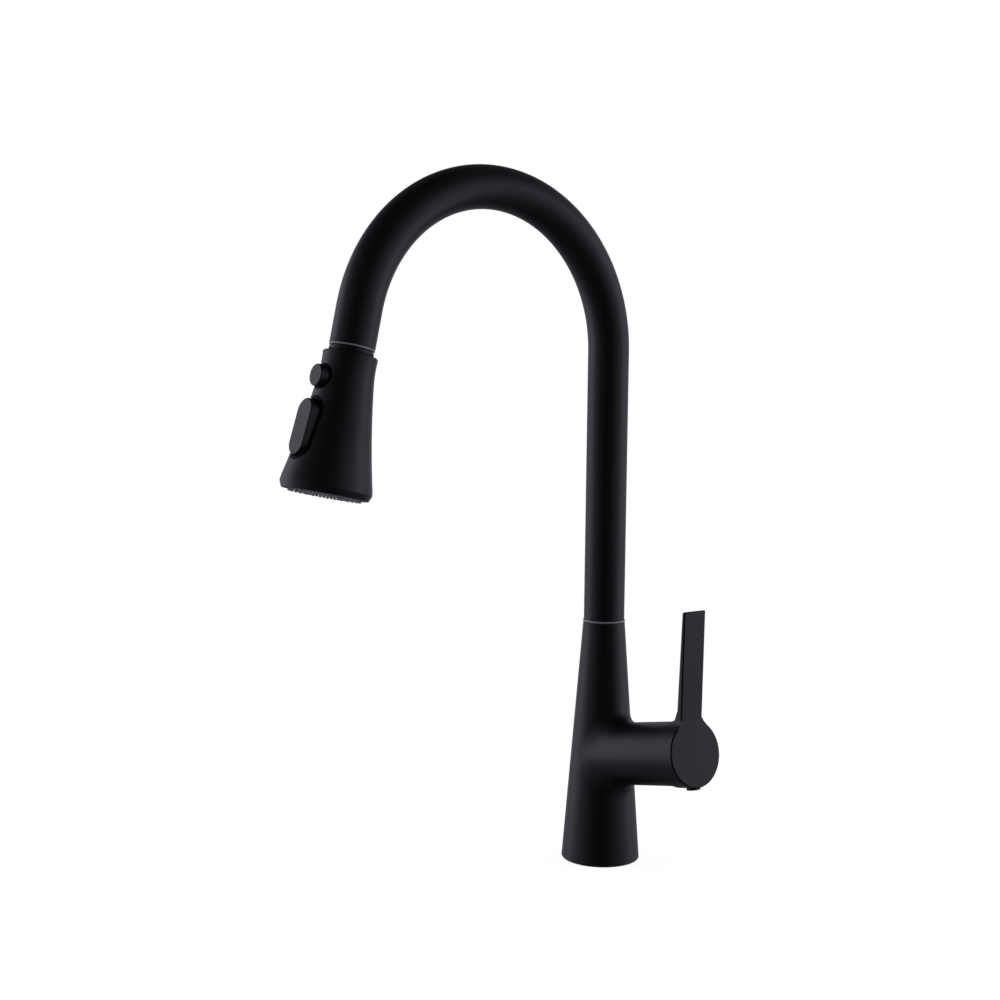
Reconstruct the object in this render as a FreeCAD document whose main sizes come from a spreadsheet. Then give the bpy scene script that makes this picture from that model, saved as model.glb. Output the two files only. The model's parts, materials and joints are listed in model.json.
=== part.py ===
import FreeCAD, Part
import math
import os
import re

import Sketcher

# Pull-down kitchen faucet, in millimetres.
# Origin: centre of the base where it stands on the deck. +Z is up, the spout reaches along -Y and the
# handle arm along +X. Three frames are used: the world frame, the arm frame (its z runs out along the
# tilted handle arm, its x up) and the spray frame (its z runs down the spray head, its y to the front).

SIZES = {
    "body_radius_base": 27.1,
    "body_radius_top": 14.35,
    "body_height": 166.4,
    "base_bore_radius": 20.1,
    "base_bore_depth": 14.2,
    "main_bore_radius": 17.6,
    "main_bore_top": 94.0,
    "swivel_bore_radius": 12.0,
    "swivel_bore_start": 104.0,
    "shank_thread_radius": 15.2,
    "shank_ring_depth": 14.0,
    "base_seal_outer": 25.2,
    "base_seal_inner": 22.6,
    "base_seal_depth": 1.6,
    "arm_rise": 72.7,
    "arm_tilt": 11.5,
    "arm_radius": 21.1,
    "arm_end": 78.2,
    "arm_bore_radius": 17.65,
    "arm_bore_start": 17.0,
    "manifold_back": 4.5,
    "manifold_floor": 60.0,
    "manifold_end": 47.6,
    "socket_radius": 3.4,
    "hot_socket_depth": 12.0,
    "cold_socket_depth": 13.0,
    "mixed_socket_depth": 14.0,
    "port_radius": 2.8,
    "pivot": 75.2,
    "hub_radius": 22.1,
    "hub_start": 78.8,
    "hub_front": 93.2,
    "hub_cavity_radius": 21.8,
    "hub_cavity_end": 87.8,
    "lever_half_width": 9.7,
    "lever_bend": 21.3,
    "lever_tip_height": 91.8,
    "lever_tip_front": 108.7,
    "lever_tip_back": 105.9,
    "lever_back_height": 29.0,
    "lever_back_root": 90.2,
    "stem_half": 3.5,
    "stem_start": 60.6,
    "stem_end": 90.6,
    "grub_station": 87.2,
    "grub_radius": 2.5,
    "tube_radius": 14.0,
    "tube_wall": 1.2,
    "tube_start": 167.7,
    "bend_height": 352.5,
    "bend_radius": 101.5,
    "bend_angle": 168.0,
    "tube_tail": 24.0,
    "adapter_radius": 10.9,
    "adapter_bore": 8.6,
    "adapter_start": 112.0,
    "adapter_end": 188.0,
    "groove_radius": 10.2,
    "groove_centre": 137.5,
    "groove_width": 5.8,
    "hose_radius": 6.25,
    "hose_bore": 4.2,
    "hose_offset": 8.0,
    "hose_start": 15.5,
    "hose_bend_start": 76.0,
    "hose_bend_length": 40.0,
    "hose_tail_start": -22.0,
    "ferrule_start": -10.0,
    "shell_start": 4.7,
    "shell_shoulder": 17.2,
    "shell_shoulder_station": 5.4,
    "shell_waist": 17.2,
    "shell_waist_station": 22.5,
    "waist_arc": 52.0,
    "flare_arc": 520.0,
    "shell_end": 81.8,
    "shell_end_radius": 27.15,
    "shell_inner_top": 14.2,
    "shell_inner_end": 24.5,
    "bezel_start": 82.0,
    "bezel_start_radius": 27.2,
    "bezel_edge": 86.2,
    "bezel_edge_radius": 27.9,
    "bezel_end": 90.2,
    "bezel_end_radius": 26.4,
    "bezel_lip": 23.9,
    "bezel_inner": 24.6,
    "core_radius": 9.5,
    "core_bore": 7.3,
    "core_start": 11.4,
    "core_end": 79.0,
    "core_flange": 22.6,
    "plate_radius": 23.8,
    "nub_radius": 0.85,
    "nub_end": 91.6,
    "pause_station": 21.8,
    "pause_radius": 6.75,
    "pause_face": 21.4,
    "pause_ring_radius": 7.75,
    "toggle_station": 53.9,
    "toggle_half_length": 17.3,
    "toggle_half_width": 7.9,
    "toggle_face": 25.3,
    "toggle_foot": 16.6,
    "toggle_tilt": 4.8,
    "toggle_frame_lean": 7.5,
    "toggle_pin_height": 19.4,
    "toggle_pin_radius": 1.0,
    "toggle_frame_length": 19.9,
    "toggle_frame_width": 9.5,
}

doc = FreeCAD.newDocument("pull_down_faucet")
sheet = doc.addObject("Spreadsheet::Sheet", "Sizes")
for row, (alias, number) in enumerate(SIZES.items(), start=1):
    sheet.set("A%d" % row, alias)
    sheet.set("B%d" % row, repr(number))
    sheet.setAlias("B%d" % row, alias)
doc.recompute()

size = {alias: sheet.get(alias) for alias in SIZES}
V = FreeCAD.Vector
finished = []


def linked(formula):
    """A formula of size names, written the way the spreadsheet answers to."""
    def link(word):
        return "Sizes." + word.group(0) if word.group(0) in SIZES else word.group(0)
    return re.sub(r"[a-z][a-z_]+", link, str(formula))


def number(value):
    """A plain number, or the spreadsheet's value for a size name."""
    return size[value] if isinstance(value, str) else value


# ---------------------------------------------------------------- frames

tilt = math.radians(size["arm_tilt"])
turn = math.radians(size["bend_angle"])
bend = size["bend_radius"]
tail_direction = V(0, -math.sin(turn), math.cos(turn))
spout_end = V(0, -bend * (1 - math.cos(turn)), size["bend_height"] + bend * math.sin(turn))
spout_end = spout_end + tail_direction * size["tube_tail"]


def frame_from_axes(origin, x_axis, y_axis, z_axis):
    """A placement whose axes point along three given unit vectors."""
    matrix = FreeCAD.Matrix(x_axis.x, y_axis.x, z_axis.x, origin.x,
                            x_axis.y, y_axis.y, z_axis.y, origin.y,
                            x_axis.z, y_axis.z, z_axis.z, origin.z,
                            0, 0, 0, 1)
    return FreeCAD.Placement(matrix)


WORLD = FreeCAD.Placement()
ARM = frame_from_axes(V(0, 0, size["arm_rise"]),
                      V(-math.sin(tilt), 0, math.cos(tilt)),
                      V(0, -1, 0),
                      V(math.cos(tilt), 0, math.sin(tilt)))
front = V(0, math.cos(turn), math.sin(turn))
SPRAY = frame_from_axes(spout_end, front.cross(tail_direction), front, tail_direction)


# ---------------------------------------------------------------- building blocks

def place(thing, x="0", y="0", z="0"):
    """Bind a primitive's position to formulas of sizes."""
    for axis, formula in (("x", x), ("y", y), ("z", z)):
        if str(formula) != "0":
            thing.setExpression("Placement.Base." + axis, linked(formula))


def rod(radius, start, end, x="0", y="0", along="z", name="rod"):
    """A cylinder between two stations on z, or on y or x when along says so."""
    thing = doc.addObject("Part::Cylinder", name)
    thing.setExpression("Radius", linked(radius))
    thing.setExpression("Height", linked("(%s) - (%s)" % (end, start)))
    if along == "z":
        place(thing, x, y, start)
    if along == "y":
        thing.Placement = FreeCAD.Placement(V(), FreeCAD.Rotation(V(1, 0, 0), -90))
        place(thing, x, start, y)
    if along == "x":
        thing.Placement = FreeCAD.Placement(V(), FreeCAD.Rotation(V(0, 1, 0), 90))
        place(thing, start, x, y)
    return thing


def arm_rod(radius, start, end, name="arm_rod"):
    """A cylinder along the tilted arm between two stations, in the world frame."""
    thing = rod(radius, "0", "(%s) - (%s)" % (end, start), name=name)
    thing.Placement = FreeCAD.Placement(V(), ARM.Rotation)
    thing.setExpression("Placement.Base.x", linked("(%s) * cos(arm_tilt)" % start))
    thing.setExpression("Placement.Base.z", linked("arm_rise + (%s) * sin(arm_tilt)" % start))
    return thing


def taper(start_radius, end_radius, start, end, name="taper"):
    """A truncated cone between two stations on z."""
    thing = doc.addObject("Part::Cone", name)
    thing.setExpression("Radius1", linked(start_radius))
    thing.setExpression("Radius2", linked(end_radius))
    thing.setExpression("Height", linked("(%s) - (%s)" % (end, start)))
    place(thing, z=start)
    return thing


def block(x_low, x_high, y_low, y_high, z_low, z_high, name="block"):
    """A box between six formulas."""
    thing = doc.addObject("Part::Box", name)
    thing.setExpression("Length", linked("(%s) - (%s)" % (x_high, x_low)))
    thing.setExpression("Width", linked("(%s) - (%s)" % (y_high, y_low)))
    thing.setExpression("Height", linked("(%s) - (%s)" % (z_high, z_low)))
    place(thing, x_low, y_low, z_low)
    return thing


def join(pieces, name="joined"):
    """One shape from several that touch."""
    if len(pieces) == 1:
        return pieces[0]
    thing = doc.addObject("Part::MultiFuse", name)
    thing.Shapes = pieces
    thing.Refine = True
    return thing


def cut(base, tools, name="cut"):
    """A base with tools taken away."""
    thing = doc.addObject("Part::Cut", name)
    thing.Base = base
    thing.Tool = join(tools)
    return thing


def overlap_of(first, second, name="common"):
    """What two shapes share."""
    thing = doc.addObject("Part::Common", name)
    thing.Base = first
    thing.Tool = second
    return thing


def finish(thing, label, frame=WORLD):
    """Name a finished piece and put it in its frame."""
    thing.Label = label
    thing.Placement = frame
    finished.append(thing)
    return thing


def turned(label, sections, bores=(), frame=WORLD):
    """A lathe-turned piece: (radius, start, end) or (radius, radius, start, end) rows, less its bores."""
    def solid(row):
        return rod(*row) if len(row) == 3 else taper(*row)
    outside = join([solid(row) for row in sections])
    if not bores:
        return finish(outside, label, frame)
    return finish(cut(outside, [solid(row) for row in bores]), label, frame)


def origin_plane(body, role):
    """One of a body's own origin planes."""
    return next(item for item in body.Origin.OriginFeatures if item.Role == role)


def sketch_on(body, role, name):
    """A sketch on one of a body's own origin planes."""
    sketch = body.newObject("Sketcher::SketchObject", name)
    sketch.AttachmentSupport = (origin_plane(body, role), [""])
    sketch.MapMode = "FlatFace"
    return sketch


def outline(sketch, corners, arcs=None):
    """A closed outline. Corners are (x, y) size names or numbers; arcs give {edge: (radius, side)}."""
    arcs = arcs or {}
    points = [V(number(x), number(y), 0) for x, y in corners]
    count = len(points)
    for index, start in enumerate(points):
        end = points[(index + 1) % count]
        if index not in arcs:
            sketch.addGeometry(Part.LineSegment(start, end), False)
            continue
        radius, side = arcs[index]
        chord = end - start
        sagitta = number(radius) - math.sqrt(number(radius) ** 2 - (chord.Length / 2) ** 2)
        normal = V(-chord.y, chord.x, 0).normalize()
        middle = (start + end) * 0.5 + normal * sagitta * side
        sketch.addGeometry(Part.Arc(start, middle, end), False)
    ends = [edge_ends(sketch, index, points[index]) for index in range(count)]
    for index in range(count):
        following = (index + 1) % count
        sketch.addConstraint(Sketcher.Constraint("Coincident", index, ends[index][1],
                                                 following, ends[following][0]))
    for index, (radius, side) in arcs.items():
        bind(sketch, Sketcher.Constraint("Radius", index, number(radius)), radius)
    for index, (x, y) in enumerate(corners):
        bind(sketch, Sketcher.Constraint("DistanceX", -1, 1, index, ends[index][0], number(x)), x)
        bind(sketch, Sketcher.Constraint("DistanceY", -1, 1, index, ends[index][0], number(y)), y)


def edge_ends(sketch, index, start):
    """Which end of an edge comes first along the outline: arcs are stored anticlockwise."""
    return (1, 2) if (sketch.getPoint(index, 1) - start).Length < 1e-6 else (2, 1)


def bind(sketch, constraint, value):
    """Add a dimension and tie it to its size when it has one."""
    index = sketch.addConstraint(constraint)
    if isinstance(value, str):
        sketch.setExpression("Constraints[%d]" % index, linked(value))


def ring_of(sketch, radius, x=0.0, y=0.0):
    """A circle of a given size name about a point."""
    index = sketch.addGeometry(Part.Circle(V(x, y, 0), V(0, 0, 1), number(radius)), False)
    sketch.addConstraint(Sketcher.Constraint("DistanceX", -1, 1, index, 3, x))
    sketch.addConstraint(Sketcher.Constraint("DistanceY", -1, 1, index, 3, y))
    bind(sketch, Sketcher.Constraint("Radius", index, number(radius)), radius)


def stadium(half_length, half_width, foot, face, name="stadium"):
    """An oblong block: rounded ends along z, its face at the given y."""
    straight = "(%s) - (%s)" % (half_length, half_width)
    middle = block("-(%s)" % half_width, half_width, foot, face, "-(%s)" % straight, straight, name)
    ends = [rod(half_width, foot, face, y="(%s) * (%d)" % (straight, side), along="y") for side in (-1, 1)]
    return join([middle] + ends)


# ---------------------------------------------------------------- body and mounting

def make_body_casting():
    """The tapered body with its tilted handle arm, bored for the manifold, cartridge and spout."""
    arm_outside = arm_rod("arm_radius", "0", "arm_end")
    outside = join([taper("body_radius_base", "body_radius_top", "0", "body_height"), arm_outside])
    bores = [
        arm_rod("arm_bore_radius", "arm_bore_start", "arm_end + 1"),
        rod("base_bore_radius", "-1", "base_bore_depth"),
        rod("main_bore_radius", "base_bore_depth - 1", "main_bore_top"),
        taper("main_bore_radius", "swivel_bore_radius", "main_bore_top", "swivel_bore_start"),
        rod("swivel_bore_radius", "swivel_bore_start", "body_height + 1"),
        rod("grub_radius", "0", "30", y="groove_centre", along="y", name="grub_hole"),
        cut(rod("base_seal_outer", "-1", "base_seal_depth"), [rod("base_seal_inner", "-2", "4")]),
    ]
    finish(cut(outside, bores), "body_casting")


def make_mounting():
    """What the body stands on and is held down by."""
    turned("shank_ring", [("base_bore_radius - 0.03", "0", "shank_ring_depth")],
           [("shank_thread_radius", "-1", "30")])
    turned("base_seal", [("base_seal_outer - 0.05", "0", "base_seal_depth - 0.03")],
           [("base_seal_inner + 0.05", "-1", "4")])


SOCKETS = {"hot": (8.6, 7.0), "cold": (8.6, -7.0), "mixed": (11.5, 0.0)}
PORTS = {"hot": (-6.0, -8.0), "cold": (-6.0, 8.0), "mixed": (8.5, 0.0)}


def make_manifold():
    """The brass waterway: three hose sockets from below, three ports to the cartridge."""
    along_arm = arm_rod("arm_bore_radius - 0.05", "0", "manifold_end")
    inside_body = rod("main_bore_radius - 0.1", "manifold_floor", "main_bore_top")
    in_arm = arm_rod("arm_bore_radius + 2", "arm_bore_start + 0.05", "manifold_end + 1")
    blank = overlap_of(along_arm, join([inside_body, in_arm]))
    tools = [block("-30", "manifold_back", "-30", "30", "20", "120")]
    for name in SOCKETS:
        x, y = SOCKETS[name]
        tools.append(rod("socket_radius", "20", "manifold_floor + %s_socket_depth" % name,
                         str(x), str(y)))
        rise, across = PORTS[name]
        port = rod("port_radius", "0", "manifold_end - 7", name=name + "_port")
        port.Placement = FreeCAD.Placement(ARM.multVec(V(rise, across, 8.5)), ARM.Rotation)
        tools.append(port)
    tools.append(rod("port_radius", "manifold_floor", "84", str(SOCKETS["mixed"][0])))
    finish(cut(blank, tools), "waterway_manifold")


# ---------------------------------------------------------------- cartridge and handle

def make_cartridge():
    """The ceramic-disc cartridge: fixed parts, turning rotor, sliding disc and tilting stem."""
    ports = [rod("port_radius", "40", "60", str(PORTS[name][0]), str(PORTS[name][1])) for name in PORTS]
    base = cut(rod("17.5", "manifold_end + 0.1", "52"), ports)
    recesses = [cut(rod("4.4", "40", "48.7", str(PORTS[name][0]), str(PORTS[name][1])),
                    [rod("port_radius", "39", "60", str(PORTS[name][0]), str(PORTS[name][1]))])
                for name in PORTS]
    finish(cut(base, recesses), "cartridge_base", ARM)
    seals = []
    for name in PORTS:
        x, y = str(PORTS[name][0]), str(PORTS[name][1])
        seals.append(cut(rod("4.3", "manifold_end + 0.05", "48.65", x, y), [rod("3.0", "39", "60", x, y)]))
    finish(join(seals), "port_seals", ARM)
    turned("cartridge_housing", [("17.5", "52.05", "74")],
           [("15.8", "51", "72"), ("11.56", "71", "80")], ARM)
    disc_ports = [rod("port_radius", "50", "58", str(PORTS[name][0]), str(PORTS[name][1])) for name in PORTS]
    finish(cut(rod("15.6", "52.2", "56"), disc_ports), "fixed_ceramic_disc", ARM)
    finish(cut(rod("10.2", "56.05", "59.4"), [block("-4", "4", "-3", "3", "50", "57.6")]),
           "sliding_ceramic_disc", ARM)
    finish(cut(rod("10.2", "59.45", "63.5"), [block("-6.2", "6.2", "-3.9", "3.9", "59.9", "70")]),
           "disc_carrier", ARM)
    slot = block("-8", "9.6", "-(stem_half + 0.3)", "stem_half + 0.3", "60", "90")
    pin_hole = rod("1.52", "-20", "20", y="pivot", along="y")
    finish(cut(rod("11.5", "64", "77.6"), [slot, pin_hole]), "cartridge_rotor", ARM)
    pin = rod("1.5", "-11", "11", y="pivot", along="y")
    finish(cut(pin, [rod("0.8", "-12", "12", y="pivot", along="y")]), "stem_pivot_pin", ARM)
    stem = block("-stem_half", "stem_half", "-stem_half", "stem_half", "stem_start", "stem_end")
    finish(cut(stem, [rod("1.55", "-20", "20", y="pivot", along="y")]), "cartridge_stem", ARM)
    turned("cartridge_nut", [("arm_bore_radius - 0.05", "74.1", "76.4")], [("12.4", "70", "80")], ARM)
    ball = doc.addObject("Part::Sphere", "collar_ball")
    ball.Radius = 21.3
    place(ball, z="pivot")
    head = overlap_of(ball, rod("21.0", "78.25", "81.2"))
    sleeve = rod("arm_bore_radius - 0.05", "76.5", "78.3")
    finish(cut(join([head, sleeve]), [rod("12.4", "70", "90")]), "dome_collar", ARM)


def make_lever():
    """The handle: a round hub with a ball-shaped cavity and a flat blade that stands up from its face."""
    body = doc.addObject("PartDesign::Body", "LeverBody")
    face = sketch_on(body, "XY_Plane", "LeverFace")
    face.AttachmentOffset = FreeCAD.Placement(V(0, 0, size["hub_start"]), FreeCAD.Rotation())
    face.setExpression("AttachmentOffset.Base.z", linked("hub_start"))
    hub = size["hub_radius"]
    half = size["lever_half_width"]
    reach = math.sqrt(hub ** 2 - half ** 2)
    top = size["lever_tip_height"]
    face.addGeometry(Part.Arc(V(reach, half, 0), V(-hub, 0, 0), V(reach, -half, 0)), False)
    face.addGeometry(Part.LineSegment(V(reach, -half, 0), V(top, -half, 0)), False)
    face.addGeometry(Part.LineSegment(V(top, -half, 0), V(top, half, 0)), False)
    face.addGeometry(Part.LineSegment(V(top, half, 0), V(reach, half, 0)), False)
    face.addConstraint(Sketcher.Constraint("Coincident", 0, 3, -1, 1))
    face.addConstraint(Sketcher.Constraint("Coincident", 0, 2, 1, 1))
    face.addConstraint(Sketcher.Constraint("Coincident", 1, 2, 2, 1))
    face.addConstraint(Sketcher.Constraint("Coincident", 2, 2, 3, 1))
    face.addConstraint(Sketcher.Constraint("Coincident", 3, 2, 0, 1))
    bind(face, Sketcher.Constraint("Radius", 0, hub), "hub_radius")
    bind(face, Sketcher.Constraint("DistanceX", -1, 1, 2, 2, top), "lever_tip_height")
    bind(face, Sketcher.Constraint("DistanceY", -1, 1, 2, 2, half), "lever_half_width")
    bind(face, Sketcher.Constraint("DistanceY", 2, 1, -1, 1, half), "lever_half_width")
    face.addConstraint(Sketcher.Constraint("Horizontal", 1))
    face.addConstraint(Sketcher.Constraint("Horizontal", 3))
    pad = body.newObject("PartDesign::Pad", "LeverPad")
    pad.Profile = face
    pad.Length = 40
    doc.recompute()

    trims = {
        "LeverFront": [("lever_tip_height", "lever_tip_front"), (130, "lever_tip_front"), (130, 130), (-40, 130),
                       (-40, "hub_front"), ("lever_bend", "hub_front")],
        "LeverBack": [("lever_back_height", "lever_back_root"), ("lever_tip_height", "lever_tip_back"),
                      (130, "lever_tip_back"), (130, 60), ("hub_radius", 60), ("hub_radius", 86)],
    }
    for name, corners in trims.items():
        side = sketch_on(body, "XZ_Plane", name)
        outline(side, corners)
        trim = body.newObject("PartDesign::Pocket", name + "Trim")
        trim.Profile = side
        trim.Type = 1
        trim.Midplane = True
        doc.recompute()

    cavity = sketch_on(body, "XZ_Plane", "HubCavity")
    pivot = size["pivot"]
    ball = size["hub_cavity_radius"]
    start = size["hub_start"] - 1
    end = size["hub_cavity_end"]
    low = V(math.sqrt(ball ** 2 - (start - pivot) ** 2), start, 0)
    high = V(math.sqrt(ball ** 2 - (end - pivot) ** 2), end, 0)
    between = V(ball * math.cos(0.4), pivot + ball * math.sin(0.4), 0)
    boss = V(7.5, end, 0)
    boss_low = V(7.5, 82.2, 0)
    inner = V(0, 82.2, 0)
    edges = [Part.LineSegment(V(0, start, 0), low), Part.Arc(low, between, high),
             Part.LineSegment(high, boss), Part.LineSegment(boss, boss_low),
             Part.LineSegment(boss_low, inner), Part.LineSegment(inner, V(0, start, 0))]
    for edge in edges:
        cavity.addGeometry(edge, False)
    for index in range(len(edges)):
        cavity.addConstraint(Sketcher.Constraint("Block", index))
    groove = body.newObject("PartDesign::Groove", "HubCavityCut")
    groove.Profile = cavity
    groove.ReferenceAxis = (cavity, ["V_Axis"])
    groove.Angle = 360
    doc.recompute()
    stem_hole = block("-(stem_half + 0.05)", "stem_half + 0.05", "-(stem_half + 0.05)", "stem_half + 0.05",
                      "80", "stem_end + 0.1")
    grub_hole = rod("grub_radius + 0.03", "-30", "0", y="0", along="x", name="lever_grub_hole")
    grub_hole.setExpression("Placement.Base.z", linked("grub_station"))
    finish(cut(body, [stem_hole, grub_hole]), "lever_handle", ARM)


def make_handle_fixings():
    """The grub screw that grips the stem, and the cap that closes its hole."""
    screw = rod("grub_radius", "-8.2", "-(stem_half + 0.02)", along="x")
    screw.setExpression("Placement.Base.z", linked("grub_station"))
    key = rod("1.2", "-20", "-5.8", along="x")
    key.setExpression("Placement.Base.z", linked("grub_station"))
    finish(cut(screw, [key]), "handle_grub_screw", ARM)
    plug = rod("grub_radius - 0.02", "-21.5", "-19.6", along="x")
    plug.setExpression("Placement.Base.z", linked("grub_station"))
    rim = rod("4.6", "-23.4", "-21.5", along="x")
    rim.setExpression("Placement.Base.z", linked("grub_station"))
    hub_skin = rod("hub_radius + 0.04", "70", "100")
    finish(cut(join([plug, rim]), [cut(hub_skin, [rod("grub_radius", "-40", "0", y="grub_station", along="x")])]),
           "grub_screw_cap", ARM)


# ---------------------------------------------------------------- spout

def make_spout_bearing():
    """The sleeve the spout turns on, its bearings, its retaining screw and the ring in the seam."""
    lower = rod("adapter_radius", "adapter_start", "tube_start + 0.1")
    plug = rod("tube_radius - tube_wall - 0.04", "tube_start", "adapter_end")
    groove = cut(rod("adapter_radius + 2", "groove_centre - groove_width / 2", "groove_centre + groove_width / 2"),
                 [rod("groove_radius", "groove_centre - 5", "groove_centre + 5")])
    finish(cut(join([lower, plug]), [rod("adapter_bore", "100", "200"), groove]), "spout_sleeve")
    for label, start, end in (("lower_spout_bearing", 116, 126), ("upper_spout_bearing", 152, 162)):
        turned(label, [("swivel_bore_radius - 0.03", str(start), str(end))],
               [("adapter_radius + 0.05", str(start - 1), str(end + 1))])
    turned("spout_seam_ring", [("body_radius_top + 0.15", "body_height + 0.02", "tube_start - 0.1")],
           [("adapter_radius + 0.3", "160", "170")])
    screw = rod("grub_radius - 0.03", "groove_radius + 0.3", "16.2", y="groove_centre", along="y")
    key = rod("1.2", "13", "20", y="groove_centre", along="y")
    finish(cut(screw, [key]), "spout_retaining_screw")


def make_spout_tube():
    """The gooseneck: a straight riser, one long bend and a short straight tail."""
    body = doc.addObject("PartDesign::Body", "SpoutBody")
    route = sketch_on(body, "YZ_Plane", "SpoutRoute")
    bottom = V(0, size["tube_start"], 0)
    bend_start = V(0, size["bend_height"], 0)
    centre = V(-bend, size["bend_height"], 0)
    bend_end = centre + V(bend * math.cos(turn), bend * math.sin(turn), 0)
    middle = centre + V(bend * math.cos(turn / 2), bend * math.sin(turn / 2), 0)
    last = bend_end + V(-math.sin(turn), math.cos(turn), 0) * size["tube_tail"]
    route.addGeometry(Part.LineSegment(bottom, bend_start), False)
    route.addGeometry(Part.Arc(bend_start, middle, bend_end), False)
    route.addGeometry(Part.LineSegment(bend_end, last), False)
    route.addConstraint(Sketcher.Constraint("Tangent", 0, 2, 1, 1))
    route.addConstraint(Sketcher.Constraint("Tangent", 1, 2, 2, 1))
    route.addConstraint(Sketcher.Constraint("PointOnObject", 0, 1, -2))
    route.addConstraint(Sketcher.Constraint("Vertical", 0))
    bind(route, Sketcher.Constraint("DistanceY", -1, 1, 0, 1, size["tube_start"]), "tube_start")
    bind(route, Sketcher.Constraint("DistanceY", -1, 1, 0, 2, size["bend_height"]), "bend_height")
    bind(route, Sketcher.Constraint("Radius", 1, bend), "bend_radius")
    bind(route, Sketcher.Constraint("Distance", 2, size["tube_tail"]), "tube_tail")
    section = sketch_on(body, "XY_Plane", "SpoutSection")
    section.AttachmentOffset = FreeCAD.Placement(V(0, 0, size["tube_start"]), FreeCAD.Rotation())
    section.setExpression("AttachmentOffset.Base.z", linked("tube_start"))
    ring_of(section, "tube_radius")
    inner = section.addGeometry(Part.Circle(V(), V(0, 0, 1), size["tube_radius"] - size["tube_wall"]), False)
    section.addConstraint(Sketcher.Constraint("Coincident", inner, 3, -1, 1))
    bound = section.addConstraint(Sketcher.Constraint("Radius", inner, size["tube_radius"] - size["tube_wall"]))
    section.setExpression("Constraints[%d]" % bound, linked("tube_radius - tube_wall"))
    pipe = body.newObject("PartDesign::AdditivePipe", "SpoutPipe")
    pipe.Profile = section
    pipe.Spine = (route, [])
    doc.recompute()
    finish(body, "spout_tube")


def make_dock():
    """What the spray head docks into at the spout's end."""
    turned("docking_collar",
           [("tube_radius - tube_wall - 0.05", "-14", "0.05"), ("tube_radius - 0.1", "0", "0.9")],
           [("11.9", "-20", "-5.8"), ("10.6", "11.6", "-5.9", "1")], SPRAY)
    turned("dock_magnet", [("11.85", "-11.2", "-6")], [("8.2", "-20", "0")], SPRAY)
    turned("hose_guide", [("tube_radius - tube_wall - 0.06", "-19", "-14.1")], [("7.7", "-30", "0")], SPRAY)


# ---------------------------------------------------------------- spray hose

def hose_solid(points, label):
    """A hollow hose along straight runs (two points) and arcs (three points)."""
    edges = []
    for run in points:
        curve = Part.LineSegment(*run) if len(run) == 2 else Part.Arc(*run)
        edges.append(curve.toShape())
    path = Part.Wire(edges)
    start = points[0][0]
    direction = edges[0].tangentAt(edges[0].FirstParameter)
    skins = []
    for radius in (size["hose_radius"], size["hose_bore"]):
        section = Part.Wire(Part.Circle(start, direction, radius).toShape())
        skins.append(path.makePipeShell([section], True, False))
    solid = skins[0].cut(skins[1])
    expected = math.pi * (size["hose_radius"] ** 2 - size["hose_bore"] ** 2) * path.Length
    print(label, "length %.1f mm, volume ratio %.4f" % (path.Length, solid.Volume / expected))
    thing = doc.addObject("Part::Feature", label)
    thing.Shape = solid
    finish(thing, label)


def make_hose():
    """The spray hose: up beside the manifold, over into the spout's axis, round the bend to the head."""
    offset = size["hose_offset"]
    low = size["hose_bend_start"]
    half = size["hose_bend_length"] / 2
    radius = (offset ** 2 + (2 * half) ** 2) / (4 * offset)
    sweep = math.asin(half / radius)
    print("hose S-bend radius %.1f mm, spout bend radius %.1f mm" % (radius, bend))
    first_middle = V(-offset + radius * (1 - math.cos(sweep / 2)), 0, low + radius * math.sin(sweep / 2))
    second_middle = V(-radius * (1 - math.cos(sweep / 2)), 0, low + 2 * half - radius * math.sin(sweep / 2))
    hose_solid([(V(-offset, 0, size["hose_start"]), V(-offset, 0, low)),
                (V(-offset, 0, low), first_middle, V(-offset / 2, 0, low + half)),
                (V(-offset / 2, 0, low + half), second_middle, V(0, 0, low + 2 * half)),
                (V(0, 0, low + 2 * half), V(0, 0, size["body_height"]))], "spray_hose_in_body")
    bend_start = V(0, 0, size["bend_height"])
    middle = V(0, -bend * (1 - math.cos(turn / 2)), size["bend_height"] + bend * math.sin(turn / 2))
    bend_end = spout_end - tail_direction * size["tube_tail"]
    hose_stop = spout_end + tail_direction * size["hose_tail_start"]
    hose_solid([(V(0, 0, size["body_height"] + 0.1), bend_start), (bend_start, middle, bend_end),
                (bend_end, hose_stop)], "spray_hose_in_spout")
    turned("spray_hose_end", [("hose_radius", "hose_tail_start + 0.1", "ferrule_start - 0.1")],
           [("hose_bore", "-40", "0")], SPRAY)


# ---------------------------------------------------------------- spray head

def make_head_neck():
    """The hose end fitting and the neck that plugs into the spout."""
    turned("hose_ferrule", [("7.4", "ferrule_start", "3")], [("hose_bore", "-20", "9")], SPRAY)
    turned("head_neck", [("9.9", "10.7", "-5", "1.2"), ("13.7", "1.2", "4.6"), ("13.7", "4.5", "9.4")],
           [("7.45", "-9", "3.02"), ("hose_bore", "2", "12")], SPRAY)
    turned("dock_plate", [("9.8", "-5.7", "-5.02")], [("7.6", "-9", "0")], SPRAY)


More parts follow.
